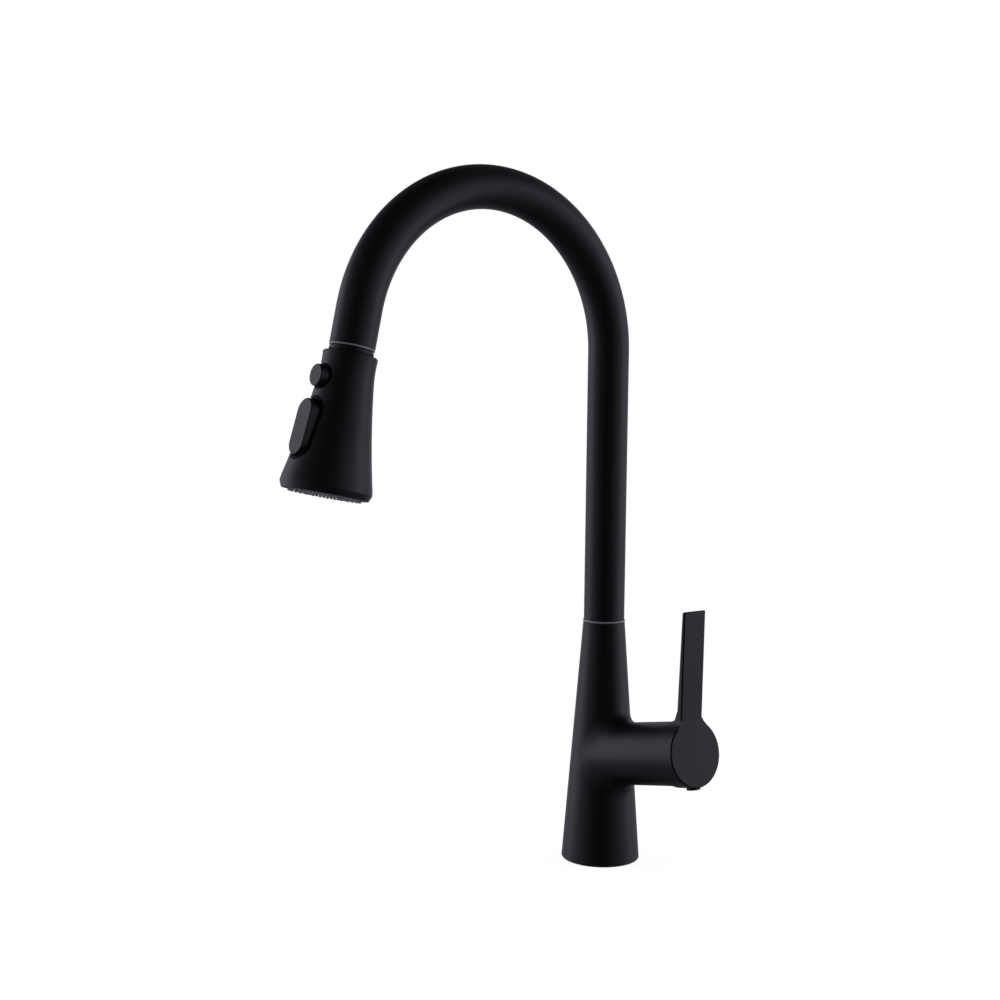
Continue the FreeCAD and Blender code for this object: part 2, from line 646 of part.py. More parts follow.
def make_head_shell():
    """The flared outer shell, open at both ends, with windows for the two buttons."""
    body = doc.addObject("PartDesign::Body", "ShellBody")
    profile = sketch_on(body, "XZ_Plane", "ShellProfile")
    corners = [("shell_inner_top", "shell_start"), (16.5, "shell_start"),
               ("shell_shoulder", "shell_shoulder_station"), ("shell_waist", "shell_waist_station"),
               ("shell_end_radius", "shell_end"), ("shell_inner_end", "shell_end"),
               ("shell_inner_top", 20)]
    outline(profile, corners, {2: ("waist_arc", 1), 3: ("flare_arc", 1)})
    spin = body.newObject("PartDesign::Revolution", "ShellSpin")
    spin.Profile = profile
    spin.ReferenceAxis = (profile, ["V_Axis"])
    spin.Angle = 360
    doc.recompute()
    pause_window = rod("pause_ring_radius + 0.05", "5", "30", y="pause_station", along="y")
    toggle_window = stadium("toggle_frame_length + 0.05", "toggle_frame_width + 0.05", "5", "40")
    toggle_window.Placement = leaning(size["toggle_frame_lean"])
    finish(cut(body, [pause_window, toggle_window]), "head_shell", SPRAY)


def make_face():
    """The bezel, nozzle plate, rubber nozzles and aerator at the outlet end."""
    body = doc.addObject("PartDesign::Body", "BezelBody")
    profile = sketch_on(body, "XZ_Plane", "BezelProfile")
    outline(profile, [("bezel_inner", "bezel_start"), ("bezel_start_radius", "bezel_start"),
                      ("bezel_edge_radius", "bezel_edge"), ("bezel_end_radius", "bezel_end"),
                      ("bezel_lip", "bezel_end"), ("bezel_lip", 87.4), ("bezel_inner", 87.4)])
    spin = body.newObject("PartDesign::Revolution", "BezelSpin")
    spin.Profile = profile
    spin.ReferenceAxis = (profile, ["V_Axis"])
    spin.Angle = 360
    doc.recompute()
    finish(body, "face_bezel", SPRAY)
    spots = []
    for count, radius in NOZZLE_RINGS:
        for index in range(count):
            angle = 2 * math.pi * index / count
            spots.append((radius * math.cos(angle), radius * math.sin(angle)))
    holes = [rod("nub_radius + 0.05", "80", "95", repr(x), repr(y)) for x, y in spots]
    holes.append(rod("8.45", "80", "95"))
    finish(cut(rod("plate_radius", "86.9", "89.4"), holes), "nozzle_plate", SPRAY)
    nubs = [rod("nub_radius", "86", "nub_end", repr(x), repr(y)) for x, y in spots]
    pad = cut(rod("plate_radius", "84.4", "86.8"), [rod("8.45", "80", "95")])
    finish(join([pad] + nubs), "rubber_nozzles", SPRAY)
    turned("aerator", [("8.35", "82.2", "89.8")], [("6.2", "81", "84.5")], SPRAY)


NOZZLE_RINGS = [(30, 21.4), (24, 17.2), (18, 12.8)]


def make_core():
    """The inner waterway with its check valve, diverter and sealing ring."""
    turned("spray_core", [("core_radius", "core_start", "core_end"), ("core_flange", "core_end - 0.1", "82")],
           [("core_bore", "10", "68"), ("5", "60", "90")], SPRAY)
    turned("check_valve", [("core_bore - 0.06", "11.6", "24")], [("3", "10", "30")], SPRAY)
    turned("core_seal", [("core_radius + 2.4", "9.5", "11.35")], [("6", "9", "12")], SPRAY)
    turned("diverter_plunger", [("core_bore - 0.08", "46", "58"), ("3", "57", "63")],
           [("2", "40", "70")], SPRAY)
    turned("aerator_seal", [("8.2", "82.03", "82.17")], [("6", "80", "84")], SPRAY)


def make_pause_button():
    """The round pause button, its guide ring and its return spring."""
    guide = cut(rod("pause_ring_radius", "11.6", "20", y="pause_station", along="y"),
                [rod("pause_radius + 0.12", "5", "30", y="pause_station", along="y")])
    finish(overlap_of(guide, rod("shell_waist + 0.25", "5", "40")), "pause_button_guide", SPRAY)
    cap = rod("pause_radius", "14.4", "pause_face - 0.7", y="pause_station", along="y")
    face = doc.addObject("Part::Cone", "pause_face")
    face.setExpression("Radius1", linked("pause_radius"))
    face.setExpression("Radius2", linked("pause_radius - 0.7"))
    face.Height = 0.7
    face.Placement = FreeCAD.Placement(V(), FreeCAD.Rotation(V(1, 0, 0), -90))
    place(face, "0", "pause_face - 0.7", "pause_station")
    finish(join([cap, face]), "pause_button", SPRAY)
    spring = cut(rod("4.6", "11.2", "14.2", y="pause_station", along="y"),
                 [rod("3.4", "5", "30", y="pause_station", along="y")])
    finish(spring, "pause_button_spring", SPRAY)


def leaning(degrees):
    """Spray-frame placement at the toggle, its lower end swung outward about the pin."""
    swing = FreeCAD.Rotation(V(-1, 0, 0), degrees)
    pin_point = V(0, size["toggle_pin_height"], 0)
    station = FreeCAD.Placement(V(0, 0, size["toggle_station"]), FreeCAD.Rotation())
    return station.multiply(FreeCAD.Placement(pin_point - swing.multVec(pin_point), swing))


def make_toggle():
    """The oblong spray selector: a rocker on a cross pin in a frame that follows the shell."""
    frame = cut(stadium("toggle_frame_length", "toggle_frame_width", "15.2", "26"),
                [stadium("toggle_half_length + 1.1", "toggle_half_width + 0.4", "5", "40"),
                 rod("toggle_pin_radius + 0.02", "-30", "30", "toggle_pin_height", along="x")])
    frame.Placement = leaning(size["toggle_frame_lean"])
    skin = taper("shell_waist - 0.3", "shell_end_radius - 0.3", "shell_waist_station", "shell_end")
    finish(overlap_of(frame, skin), "toggle_frame", SPRAY)
    pin = rod("toggle_pin_radius", "-9.3", "9.3", "toggle_pin_height", along="x")
    hollow = rod("0.5", "-12", "12", "toggle_pin_height", along="x")
    finish(cut(pin, [hollow]), "toggle_pin", SPRAY.multiply(leaning(0)))
    rocker = stadium("toggle_half_length", "toggle_half_width", "toggle_foot", "toggle_face - 0.9")
    crown = stadium("toggle_half_length - 0.7", "toggle_half_width - 0.7", "toggle_face - 1", "toggle_face")
    hole = rod("toggle_pin_radius + 0.06", "-30", "30", "toggle_pin_height", along="x")
    finish(cut(join([rocker, crown]), [hole]), "spray_toggle", SPRAY.multiply(leaning(size["toggle_tilt"])))


make_body_casting()
make_mounting()
make_manifold()
make_cartridge()
make_lever()
make_handle_fixings()
make_spout_bearing()
make_spout_tube()
make_dock()
make_hose()
make_head_neck()
make_head_shell()
make_face()
make_core()
make_pause_button()
make_toggle()
doc.recompute()

for thing in doc.Objects:
    if "Invalid" in thing.State or "Error" in thing.State:
        raise RuntimeError("%s failed: %s" % (thing.Label, thing.State))
for thing in finished:
    if thing.Shape.isNull() or not thing.Shape.isValid():
        raise RuntimeError("%s has no valid shape" % thing.Label)
    print("%-24s %d solids %9.1f mm3" % (thing.Label, len(thing.Shape.Solids), thing.Shape.Volume))
for thing in finished:
    thing.Shape.exportStep("parts/%s.step" % thing.Label)
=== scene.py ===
import json
from math import asin, cos, pi, radians, sin, sqrt

import bmesh
import bpy
import numpy as np
from mathutils import Matrix, Vector


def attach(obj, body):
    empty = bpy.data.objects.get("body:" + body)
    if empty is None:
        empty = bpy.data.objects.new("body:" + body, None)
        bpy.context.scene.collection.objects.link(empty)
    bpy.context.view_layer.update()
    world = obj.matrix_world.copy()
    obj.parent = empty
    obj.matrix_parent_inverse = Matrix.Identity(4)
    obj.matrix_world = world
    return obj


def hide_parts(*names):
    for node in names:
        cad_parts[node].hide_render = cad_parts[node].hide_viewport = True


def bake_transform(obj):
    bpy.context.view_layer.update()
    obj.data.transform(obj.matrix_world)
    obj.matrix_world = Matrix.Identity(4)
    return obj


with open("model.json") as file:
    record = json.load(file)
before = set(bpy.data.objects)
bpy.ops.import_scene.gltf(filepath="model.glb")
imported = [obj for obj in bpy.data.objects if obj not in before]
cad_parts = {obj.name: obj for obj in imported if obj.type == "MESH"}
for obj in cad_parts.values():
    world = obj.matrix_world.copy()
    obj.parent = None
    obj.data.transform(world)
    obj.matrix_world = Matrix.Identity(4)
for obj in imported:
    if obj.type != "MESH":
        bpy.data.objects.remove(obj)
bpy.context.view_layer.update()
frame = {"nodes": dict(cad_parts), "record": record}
MM = 0.001

# ---------------------------------------------------------------- camera
# A long lens at the height of the spout's middle, turned a little past the faucet.

stand = radians(48.149)
distance = 1.01217
eye = Vector((distance * sin(stand), -distance * cos(stand), 0.326))
heading = stand + radians(4.145)
dip = radians(4.332)
roll = radians(0.663)
ahead = Vector((-sin(heading) * cos(dip), cos(heading) * cos(dip), -sin(dip)))
across = Vector((cos(heading), sin(heading), 0))
upright = across.cross(ahead)
right = across * cos(roll) + upright * sin(roll)
top = upright * cos(roll) - across * sin(roll)

lens = bpy.data.cameras.new("studio_lens")
lens.lens = 52.815
lens.sensor_width = 36
lens.clip_start = 0.05
lens.clip_end = 20
camera = bpy.data.objects.new("studio_camera", lens)
camera.matrix_world = Matrix.Translation(eye) @ Matrix((right, top, -ahead)).transposed().to_4x4()
bpy.context.scene.collection.objects.link(camera)
bpy.context.scene.camera = camera
bpy.context.scene.view_settings.view_transform = "Standard"

# ---------------------------------------------------------------- studio
# A white sweep behind the faucet, tall soft boxes at both sides and black card in front,
# which leaves the dark stripe down the middle of every round part.

front = Vector((sin(stand), -cos(stand), 0))
cool_white = (0.93, 0.90, 1.07)
world = bpy.data.worlds.new("white_sweep")
world.use_nodes = True
bpy.context.scene.world = world


def ramp_of(nodes, name, stops):
    """A colour ramp with (place, grey or colour) stops."""
    ramp = nodes.new("ShaderNodeValToRGB")
    ramp.label = name
    for index, (place, shade) in enumerate(stops):
        if index < 2:
            stop = ramp.color_ramp.elements[index]
            stop.position = place
        else:
            stop = ramp.color_ramp.elements.new(place)
        colour = shade if isinstance(shade, tuple) else (shade, shade, shade)
        stop.color = (*colour, 1)
    return ramp


def light_the_sweep(tree):
    """White where it is looked at; for light, dark in front, above and below, bright at the sides."""
    nodes, links = tree.nodes, tree.links
    nodes.clear()
    place = nodes.new("ShaderNodeTexCoord")
    facing = nodes.new("ShaderNodeVectorMath")
    facing.operation = "DOT_PRODUCT"
    facing.inputs[1].default_value = front
    links.new(place.outputs["Generated"], facing.inputs[0])
    round_about = nodes.new("ShaderNodeMapRange")
    round_about.inputs["From Min"].default_value = -1
    links.new(facing.outputs["Value"], round_about.inputs["Value"])
    sides = ramp_of(nodes, "sides", [(0, .46), (.3, .52), (.55, .47), (.75, .34), (.92, .085), (1, .015)])
    links.new(round_about.outputs["Result"], sides.inputs["Fac"])
    split = nodes.new("ShaderNodeSeparateXYZ")
    links.new(place.outputs["Generated"], split.inputs["Vector"])
    height = nodes.new("ShaderNodeMapRange")
    height.inputs["From Min"].default_value = -1
    links.new(split.outputs["Z"], height.inputs["Value"])
    cool = [(place, tuple(shade * part for part in cool_white))
            for place, shade in ((0, .10), (.25, .35), (.44, 1), (.66, 1), (.78, .25), (1, .03))]
    band = ramp_of(nodes, "band", cool)
    links.new(height.outputs["Result"], band.inputs["Fac"])
    glow = nodes.new("ShaderNodeMix")
    glow.data_type = "RGBA"
    glow.blend_type = "MULTIPLY"
    glow.inputs["Factor"].default_value = 1
    links.new(sides.outputs["Color"], glow.inputs["A"])
    links.new(band.outputs["Color"], glow.inputs["B"])
    lit = nodes.new("ShaderNodeBackground")
    links.new(glow.outputs["Result"], lit.inputs["Color"])
    seen = nodes.new("ShaderNodeBackground")
    seen.inputs["Color"].default_value = (1, 1, 1, 1)
    ray = nodes.new("ShaderNodeLightPath")
    either = nodes.new("ShaderNodeMixShader")
    links.new(ray.outputs["Is Camera Ray"], either.inputs["Fac"])
    links.new(lit.outputs["Background"], either.inputs[1])
    links.new(seen.outputs["Background"], either.inputs[2])
    out = nodes.new("ShaderNodeOutputWorld")
    links.new(either.outputs["Shader"], out.inputs["Surface"])


light_the_sweep(world.node_tree)


def soft_box(name, turn, wide, power):
    """A tall soft light at an angle round the faucet, aimed at its middle."""
    panel = bpy.data.lights.new(name, "AREA")
    panel.shape = "RECTANGLE"
    panel.size = wide
    panel.size_y = 1.3
    panel.energy = power
    panel.color = cool_white
    lamp = bpy.data.objects.new(name, panel)
    spot = Vector((1.3 * sin(turn), -1.3 * cos(turn), 0.3))
    lamp.location = spot
    lamp.rotation_euler = (Vector((0, -0.08, 0.25)) - spot).to_track_quat("-Z", "Y").to_euler()
    lamp.visible_camera = False
    bpy.context.scene.collection.objects.link(lamp)


soft_box("right_soft_box", stand + radians(98), 0.7, 1.4)
soft_box("left_soft_box", stand - radians(101), 0.8, 2.0)

floor_mesh = bmesh.new()
bmesh.ops.create_circle(floor_mesh, cap_ends=True, segments=96, radius=0.13)
bmesh.ops.translate(floor_mesh, vec=(0, 0, -0.0004), verts=floor_mesh.verts)
floor_data = bpy.data.meshes.new("floor")
floor_mesh.to_mesh(floor_data)
floor_mesh.free()
floor = bpy.data.objects.new("floor", floor_data)
bpy.context.scene.collection.objects.link(floor)
floor_paper = bpy.data.materials.new("white_paper")
floor_paper.use_nodes = True
paper = floor_paper.node_tree.nodes["Principled BSDF"]
paper.inputs["Base Color"].default_value = (0.9, 0.9, 0.9, 1)
paper.inputs["Roughness"].default_value = 0.9
paper.inputs["Emission Color"].default_value = (1, 1, 1, 1)
paper.inputs["Emission Strength"].default_value = 0.9
floor_data.materials.append(floor_paper)
floor.visible_diffuse = False
floor.visible_glossy = False

# ---------------------------------------------------------------- body
# One brass casting: a slim cone with the valve arm growing out of it at a rising angle, the corner
# between them softened. It is turned, blasted and powder coated matte black, and open at three ends.

base_radius = 27.1
top_radius = 14.35
cone_height = 166.4
arm_height = 72.7
arm_tilt = radians(11.5)
arm_radius = 21.1
arm_end = 78.2
corner = 11.5
arm_frame = Matrix(((-sin(arm_tilt), 0, cos(arm_tilt), 0),
                    (0, -1, 0, 0),
                    (cos(arm_tilt), 0, sin(arm_tilt), arm_height * MM),
                    (0, 0, 0, 1)))


def powder_coat(name, dark, light, rough, grain, depth, patch=45):
    """A baked paint: a faint cloudiness, a roughness that wanders a little and a fine orange peel."""
    paint = bpy.data.materials.new(name)
    paint.use_nodes = True
    nodes, links = paint.node_tree.nodes, paint.node_tree.links
    shader = nodes["Principled BSDF"]
    place = nodes.new("ShaderNodeTexCoord")
    cloud = nodes.new("ShaderNodeTexNoise")
    cloud.inputs["Scale"].default_value = patch
    cloud.inputs["Detail"].default_value = 4
    links.new(place.outputs["Object"], cloud.inputs["Vector"])
    tone = ramp_of(nodes, "tone", [(0.3, dark), (0.7, light)])
    links.new(cloud.outputs["Fac"], tone.inputs["Fac"])
    links.new(tone.outputs["Color"], shader.inputs["Base Color"])
    peel = nodes.new("ShaderNodeTexNoise")
    peel.inputs["Scale"].default_value = grain
    peel.inputs["Detail"].default_value = 3
    links.new(place.outputs["Object"], peel.inputs["Vector"])
    wander = nodes.new("ShaderNodeMapRange")
    wander.inputs["To Min"].default_value = rough[0]
    wander.inputs["To Max"].default_value = rough[1]
    links.new(peel.outputs["Fac"], wander.inputs["Value"])
    links.new(wander.outputs["Result"], shader.inputs["Roughness"])
    bump = nodes.new("ShaderNodeBump")
    bump.inputs["Distance"].default_value = depth
    bump.inputs["Strength"].default_value = 0.5
    links.new(peel.outputs["Fac"], bump.inputs["Height"])
    links.new(bump.outputs["Normal"], shader.inputs["Normal"])
    return paint


matte_black = powder_coat("matte_black_coat", (.0085, .0088, .0104), (.0125, .0128, .0146),
                          (.36, .46), 1500, 0.00003)


def finished(mesh, name, material, body, slot, *stands_for, crease=38):
    """Turn a bmesh into a piece: smooth, with its hard edges kept, painted and riding its body."""
    bmesh.ops.remove_doubles(mesh, verts=mesh.verts, dist=2e-7)
    bmesh.ops.recalc_face_normals(mesh, faces=mesh.faces)
    data = bpy.data.meshes.new(name)
    mesh.to_mesh(data)
    mesh.free()
    data.polygons.foreach_set("use_smooth", [True] * len(data.polygons))
    data.set_sharp_from_angle(angle=radians(crease))
    data.materials.append(material)
    piece = bpy.data.objects.new(name, data)
    bpy.context.scene.collection.objects.link(piece)
    even = piece.modifiers.new("even_shading", "WEIGHTED_NORMAL")
    even.keep_sharp = True
    even.weight = 80
    if body:
        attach(piece, body)
    if stands_for:
        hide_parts(*stands_for)
    return piece


def carry_rim(mesh, about, steps):
    """Carry an open round rim through (radius, height) steps in mm about a frame's z axis, then close it."""
    inverse = about.inverted()
    radius, height = steps[0]

    def on_rim(edge):
        spots = [inverse @ vert.co for vert in edge.verts]
        return edge.is_boundary and all(
            abs(spot.z - height * MM) < 2e-5 and abs(Vector(spot.xy).length - radius * MM) < 3e-4
            for spot in spots)

    rim = [edge for edge in mesh.edges if on_rim(edge)]
    for next_radius, next_height in steps[1:]:
        made = bmesh.ops.extrude_edge_only(mesh, edges=rim)["geom"]
        verts = [item for item in made if isinstance(item, bmesh.types.BMVert)]
        fresh = set(verts)
        rim = [edge for edge in mesh.edges if edge.is_boundary and set(edge.verts) <= fresh]
        shrink = next_radius / radius
        step = Matrix.Translation((0, 0, next_height * MM)) @ Matrix.Diagonal((shrink, shrink, 1, 1))
        step = about @ step @ Matrix.Translation((0, 0, -height * MM)) @ inverse
        bmesh.ops.transform(mesh, matrix=step, verts=verts)
        radius, height = next_radius, next_height
    bmesh.ops.contextual_create(mesh, geom=rim)


def lumped(mesh, voxel):
    """One skin over overlapping solids, in small even faces."""
    data = bpy.data.meshes.new("lump")
    mesh.to_mesh(data)
    mesh.free()
    lump = bpy.data.objects.new("lump", data)
    bpy.context.scene.collection.objects.link(lump)
    grid = lump.modifiers.new("grid", "REMESH")
    grid.mode = "VOXEL"
    grid.voxel_size = voxel
    skin = bpy.data.meshes.new_from_object(lump.evaluated_get(bpy.context.evaluated_depsgraph_get()))
    bpy.data.objects.remove(lump)
    result = bmesh.new()
    result.from_mesh(skin)
    bpy.data.meshes.remove(skin)
    return result


def settle_on_casting(mesh):
    """Move every point onto the exact cone and arm, rounding the inner corner where they meet."""
    spots = np.array([vert.co for vert in mesh.verts]) / MM
    slope = (top_radius - base_radius) / cone_height
    lean = sqrt(1 + slope ** 2)
    u_axis = np.array((cos(arm_tilt), 0, sin(arm_tilt)))
    for _ in range(8):
        round_z = np.linalg.norm(spots[:, :2], axis=1)
        cone = (round_z - base_radius - slope * spots[:, 2]) / lean
        cone_out = np.column_stack((spots[:, 0] / round_z, spots[:, 1] / round_z, -slope + 0 * round_z)) / lean
        along = (spots - (0, 0, arm_height)) @ u_axis
        off = spots - (0, 0, arm_height) - along[:, None] * u_axis
        round_u = np.linalg.norm(off, axis=1)
        arm = np.where(along > 0, round_u - arm_radius, 40.0)
        arm_out = off / np.maximum(round_u, 1e-6)[:, None]
        open_corner = np.clip(1 - (cone_out * arm_out).sum(1), 0, 1) ** 0.6
        reach = np.maximum(corner * open_corner, 1e-6)
        share = np.clip(0.5 + 0.5 * (arm - cone) / reach, 0, 1)
        level = arm + (cone - arm) * share - reach * share * (1 - share)
        out = cone_out * share[:, None] + arm_out * (1 - share)[:, None]
        out /= np.maximum((out ** 2).sum(1), 0.2)[:, None]
        spots -= out * level[:, None]
    for vert, spot in zip(mesh.verts, spots):
        vert.co = Vector(spot) * MM


def cast_body():
    """The casting's skin, cut square at its three ends and carried in through each bore."""
    rough = bmesh.new()
    slope = (top_radius - base_radius) / cone_height
    bmesh.ops.create_cone(rough, cap_ends=True, segments=128, radius1=(base_radius - 5 * slope) * MM,
                          radius2=(top_radius + 5 * slope) * MM, depth=(cone_height + 10) * MM,
                          matrix=Matrix.Translation((0, 0, cone_height / 2 * MM)))
    bmesh.ops.create_cone(rough, cap_ends=True, segments=128, radius1=arm_radius * MM,
                          radius2=arm_radius * MM, depth=(arm_end + 5) * MM,
                          matrix=arm_frame @ Matrix.Translation((0, 0, (arm_end + 5) / 2 * MM)))
    skin = lumped(rough, 0.0009)
    settle_on_casting(skin)
    arm_way = arm_frame.to_3x3() @ Vector((0, 0, 1))
    for spot, way in ((Vector((0, 0, 0.5 * MM)), Vector((0, 0, -1))),
                      (Vector((0, 0, (cone_height - 0.35) * MM)), Vector((0, 0, 1))),
                      (arm_frame @ Vector((0, 0, (arm_end - 0.4) * MM)), arm_way)):
        bmesh.ops.bisect_plane(skin, geom=skin.verts[:] + skin.edges[:] + skin.faces[:], dist=1e-7,
                               plane_co=spot, plane_no=way, clear_outer=True)
    carry_rim(skin, Matrix.Identity(4), [(27.06, 0.5), (26.7, 0.02), (25.25, 0), (25.25, 1.65), (22.5, 1.65),
                                         (22.5, 0), (20.15, 0), (20.15, 14.3), (16, 14.3)])
    carry_rim(skin, Matrix.Identity(4), [(14.38, 166.05), (14.05, 166.4), (12.05, 166.4), (12.05, 104.5)])
    carry_rim(skin, arm_frame, [(21.1, 77.8), (20.75, 78.2), (17.7, 78.2), (17.7, 47.7)])
    return skin


body = finished(cast_body(), "cast_body", matte_black, "faucet_body", "matte_black", "body_casting", crease=35)

# ---------------------------------------------------------------- turned rings on the body
# The valve's domed collar closes the arm's end and carries the lever's hollow hub. A pale washer
# shows as a hairline in the joint between the cone and the spout.


def lathe(outline, where=Matrix.Identity(4), steps=192):
    """Spin a closed outline of (radius, height[, rounding]) corners in mm about a frame's z axis."""
    mesh = bmesh.new()
    corners = [mesh.verts.new((point[0] * MM, 0, point[1] * MM)) for point in outline]
    pairs = list(zip(corners, corners[1:] + corners[:1]))
    for first, second in pairs:
        if first.co.x + second.co.x > 0:
            mesh.edges.new((first, second))
    for corner_point, point in zip(corners, outline):
        if len(point) > 2:
            bmesh.ops.bevel(mesh, geom=[corner_point], offset=point[2] * MM, segments=4, profile=0.5,
                            affect="VERTICES", clamp_overlap=False, material=-1)
    bmesh.ops.spin(mesh, geom=mesh.verts[:] + mesh.edges[:], cent=(0, 0, 0), axis=(0, 0, 1),
                   angle=2 * pi, steps=steps, use_merge=True, use_duplicate=False)
    bmesh.ops.remove_doubles(mesh, verts=mesh.verts, dist=1e-7)
    bmesh.ops.recalc_face_normals(mesh, faces=mesh.faces)
    bmesh.ops.transform(mesh, matrix=where, verts=mesh.verts)
    return mesh


def ball_arc(radius, centre, start, end, count):
    """Points of a ball's outline between two heights."""
    heights = [start + (end - start) * index / count for index in range(count + 1)]
    return [(sqrt(radius ** 2 - (height - centre) ** 2), height) for height in heights]


pivot = 75.2
collar_top = ball_arc(21.3, pivot, 78.9, 81.2, 8)
collar_foot = [(12.4, 81.2), (12.4, 76.5), (17.6, 76.5), (17.6, 78.25), (20.9, 78.25), (21.0, 78.4)]
finished(lathe(collar_foot + collar_top, arm_frame),
         "valve_collar", matte_black, "faucet_body", "matte_black", "dome_collar")

pale_grey = powder_coat("pale_grey_washer", (.68, .68, .70), (.78, .78, .80), (.42, .5), 900, 0.00002)
finished(lathe([(11.2, 166.42), (14.5, 166.42, .2), (14.5, 167.6, .2), (11.2, 167.6)]),
         "seam_washer", pale_grey, "faucet_body", "grey_plastic", "spout_seam_ring")

# ---------------------------------------------------------------- spout
# A gooseneck bent from one length of brass tube: a riser, a long even bend and a short straight
# tail. It is coated like the body, its two cut ends lightly broken.

tube_radius = 14.0
tube_wall = 1.2
tube_start = 167.7
bend_height = 352.5
bend_radius = 101.5
bend_turn = radians(168)
tail_length = 24.0
tail_way = Vector((0, -sin(bend_turn), cos(bend_turn)))
spout_end = Vector((0, -bend_radius * (1 - cos(bend_turn)), bend_height + bend_radius * sin(bend_turn)))
spout_end = (spout_end + tail_way * tail_length) * MM
outward = Vector((0, tail_way.z, -tail_way.y))
spray_frame = Matrix(((1, 0, 0, spout_end.x),
                      (0, outward.y, tail_way.y, spout_end.y),
                      (0, outward.z, tail_way.z, spout_end.z),
                      (0, 0, 0, 1)))


def bend_tube():
    """The tube's skin drawn along its line, then thickened inwards."""
    mesh = bmesh.new()
    bmesh.ops.create_circle(mesh, cap_ends=False, segments=128, radius=tube_radius * MM,
                            matrix=Matrix.Translation((0, 0, tube_start * MM)))
    rim = mesh.edges[:]

    def draw_on(edges, way, count):
        for _ in range(count):
            made = bmesh.ops.extrude_edge_only(mesh, edges=edges)["geom"]
            verts = [item for item in made if isinstance(item, bmesh.types.BMVert)]
            fresh = set(verts)
            bmesh.ops.translate(mesh, vec=way / count, verts=verts)
            edges = [edge for edge in mesh.edges if edge.is_boundary and set(edge.verts) <= fresh]
        return edges

    rim = draw_on(rim, Vector((0, 0, (bend_height - tube_start) * MM)), 12)
    points = {vert for edge in rim for vert in edge.verts}
    swept = bmesh.ops.spin(mesh, geom=list(points) + rim, cent=(0, -bend_radius * MM, bend_height * MM),
                           axis=(1, 0, 0), angle=bend_turn, steps=112, use_duplicate=False)
    rim = [item for item in swept["geom_last"] if isinstance(item, bmesh.types.BMEdge)]
    draw_on(rim, tail_way * tail_length * MM, 3)
    bmesh.ops.remove_doubles(mesh, verts=mesh.verts, dist=1e-7)
    bmesh.ops.recalc_face_normals(mesh, faces=mesh.faces)
    bmesh.ops.solidify(mesh, geom=mesh.faces[:], thickness=tube_wall * MM)
    bmesh.ops.recalc_face_normals(mesh, faces=mesh.faces)
    sharp = [edge for edge in mesh.edges if edge.calc_face_angle(0) > radians(60)]
    bmesh.ops.bevel(mesh, geom=sharp, offset=0.3 * MM, segments=3, profile=0.5, affect="EDGES",
                    clamp_overlap=True, material=-1)
    return mesh


finished(bend_tube(), "gooseneck_tube", matte_black, "spout", "matte_black", "spout_tube")

finished(lathe([(12.75, -14), (12.75, 0), (13.9, 0), (13.9, 0.9, .25), (11.75, 0.9), (10.6, -5.9), (11.9, -5.9),
                (11.9, -14)], spray_frame),
         "docking_ring", pale_grey, "spout", "grey_plastic", "docking_collar")

# ---------------------------------------------------------------- lever
# A cast handle: a round hub, hollow behind to clear the collar's dome, and a flat blade that
# leans outward as it rises. Its face edges are broken by a fine chamfer.

hub_radius = 22.1
hub_start = 78.8
hub_front = 93.2
blade_half = 9.7
blade_top = 91.8
root_round = 7.0
edge_break = 0.8


def lever_hub():
    """The hub's cup with its centre boss."""
    cup = ball_arc(21.8, pivot, 87.8, hub_start, 14)
    return lathe([(0, 82.2), (7.5, 82.2, .3), (7.5, 87.8)] + cup
                 + [(hub_radius, hub_start), (hub_radius, hub_front - edge_break),
                    (hub_radius - edge_break, hub_front), (0, hub_front)], steps=160)


def drawn_prism(corners, start, end, way):
    """A flat outline in mm pushed from one station to another along y or z."""
    mesh = bmesh.new()
    first, second = (Vector((1, 0, 0)), Vector((0, 0, 1)) if way.y else Vector((0, 1, 0)))
    verts = [mesh.verts.new((first * a + second * b + way * start) * MM) for a, b in corners]
    face = mesh.faces.new(verts)
    made = bmesh.ops.extrude_face_region(mesh, geom=[face])["geom"]
    bmesh.ops.translate(mesh, vec=way * (end - start) * MM,
                        verts=[item for item in made if isinstance(item, bmesh.types.BMVert)])
    bmesh.ops.recalc_face_normals(mesh, faces=mesh.faces)
    return mesh


def worked(base, tool, operation):
    """A solid joined with, cut by or kept inside another."""
    pair = []
    for mesh in (base, tool):
        data = bpy.data.meshes.new("work")
        mesh.to_mesh(data)
        mesh.free()
        item = bpy.data.objects.new("work", data)
        bpy.context.scene.collection.objects.link(item)
        pair.append(item)
    work = pair[0].modifiers.new("work", "BOOLEAN")
    work.operation = operation
    work.solver = "EXACT"
    work.object = pair[1]
    made = bpy.data.meshes.new_from_object(pair[0].evaluated_get(bpy.context.evaluated_depsgraph_get()))
    for item in pair:
        bpy.data.objects.remove(item)
    result = bmesh.new()
    result.from_mesh(made)
    bpy.data.meshes.remove(made)
    bmesh.ops.remove_doubles(result, verts=result.verts, dist=1e-6)
    return result


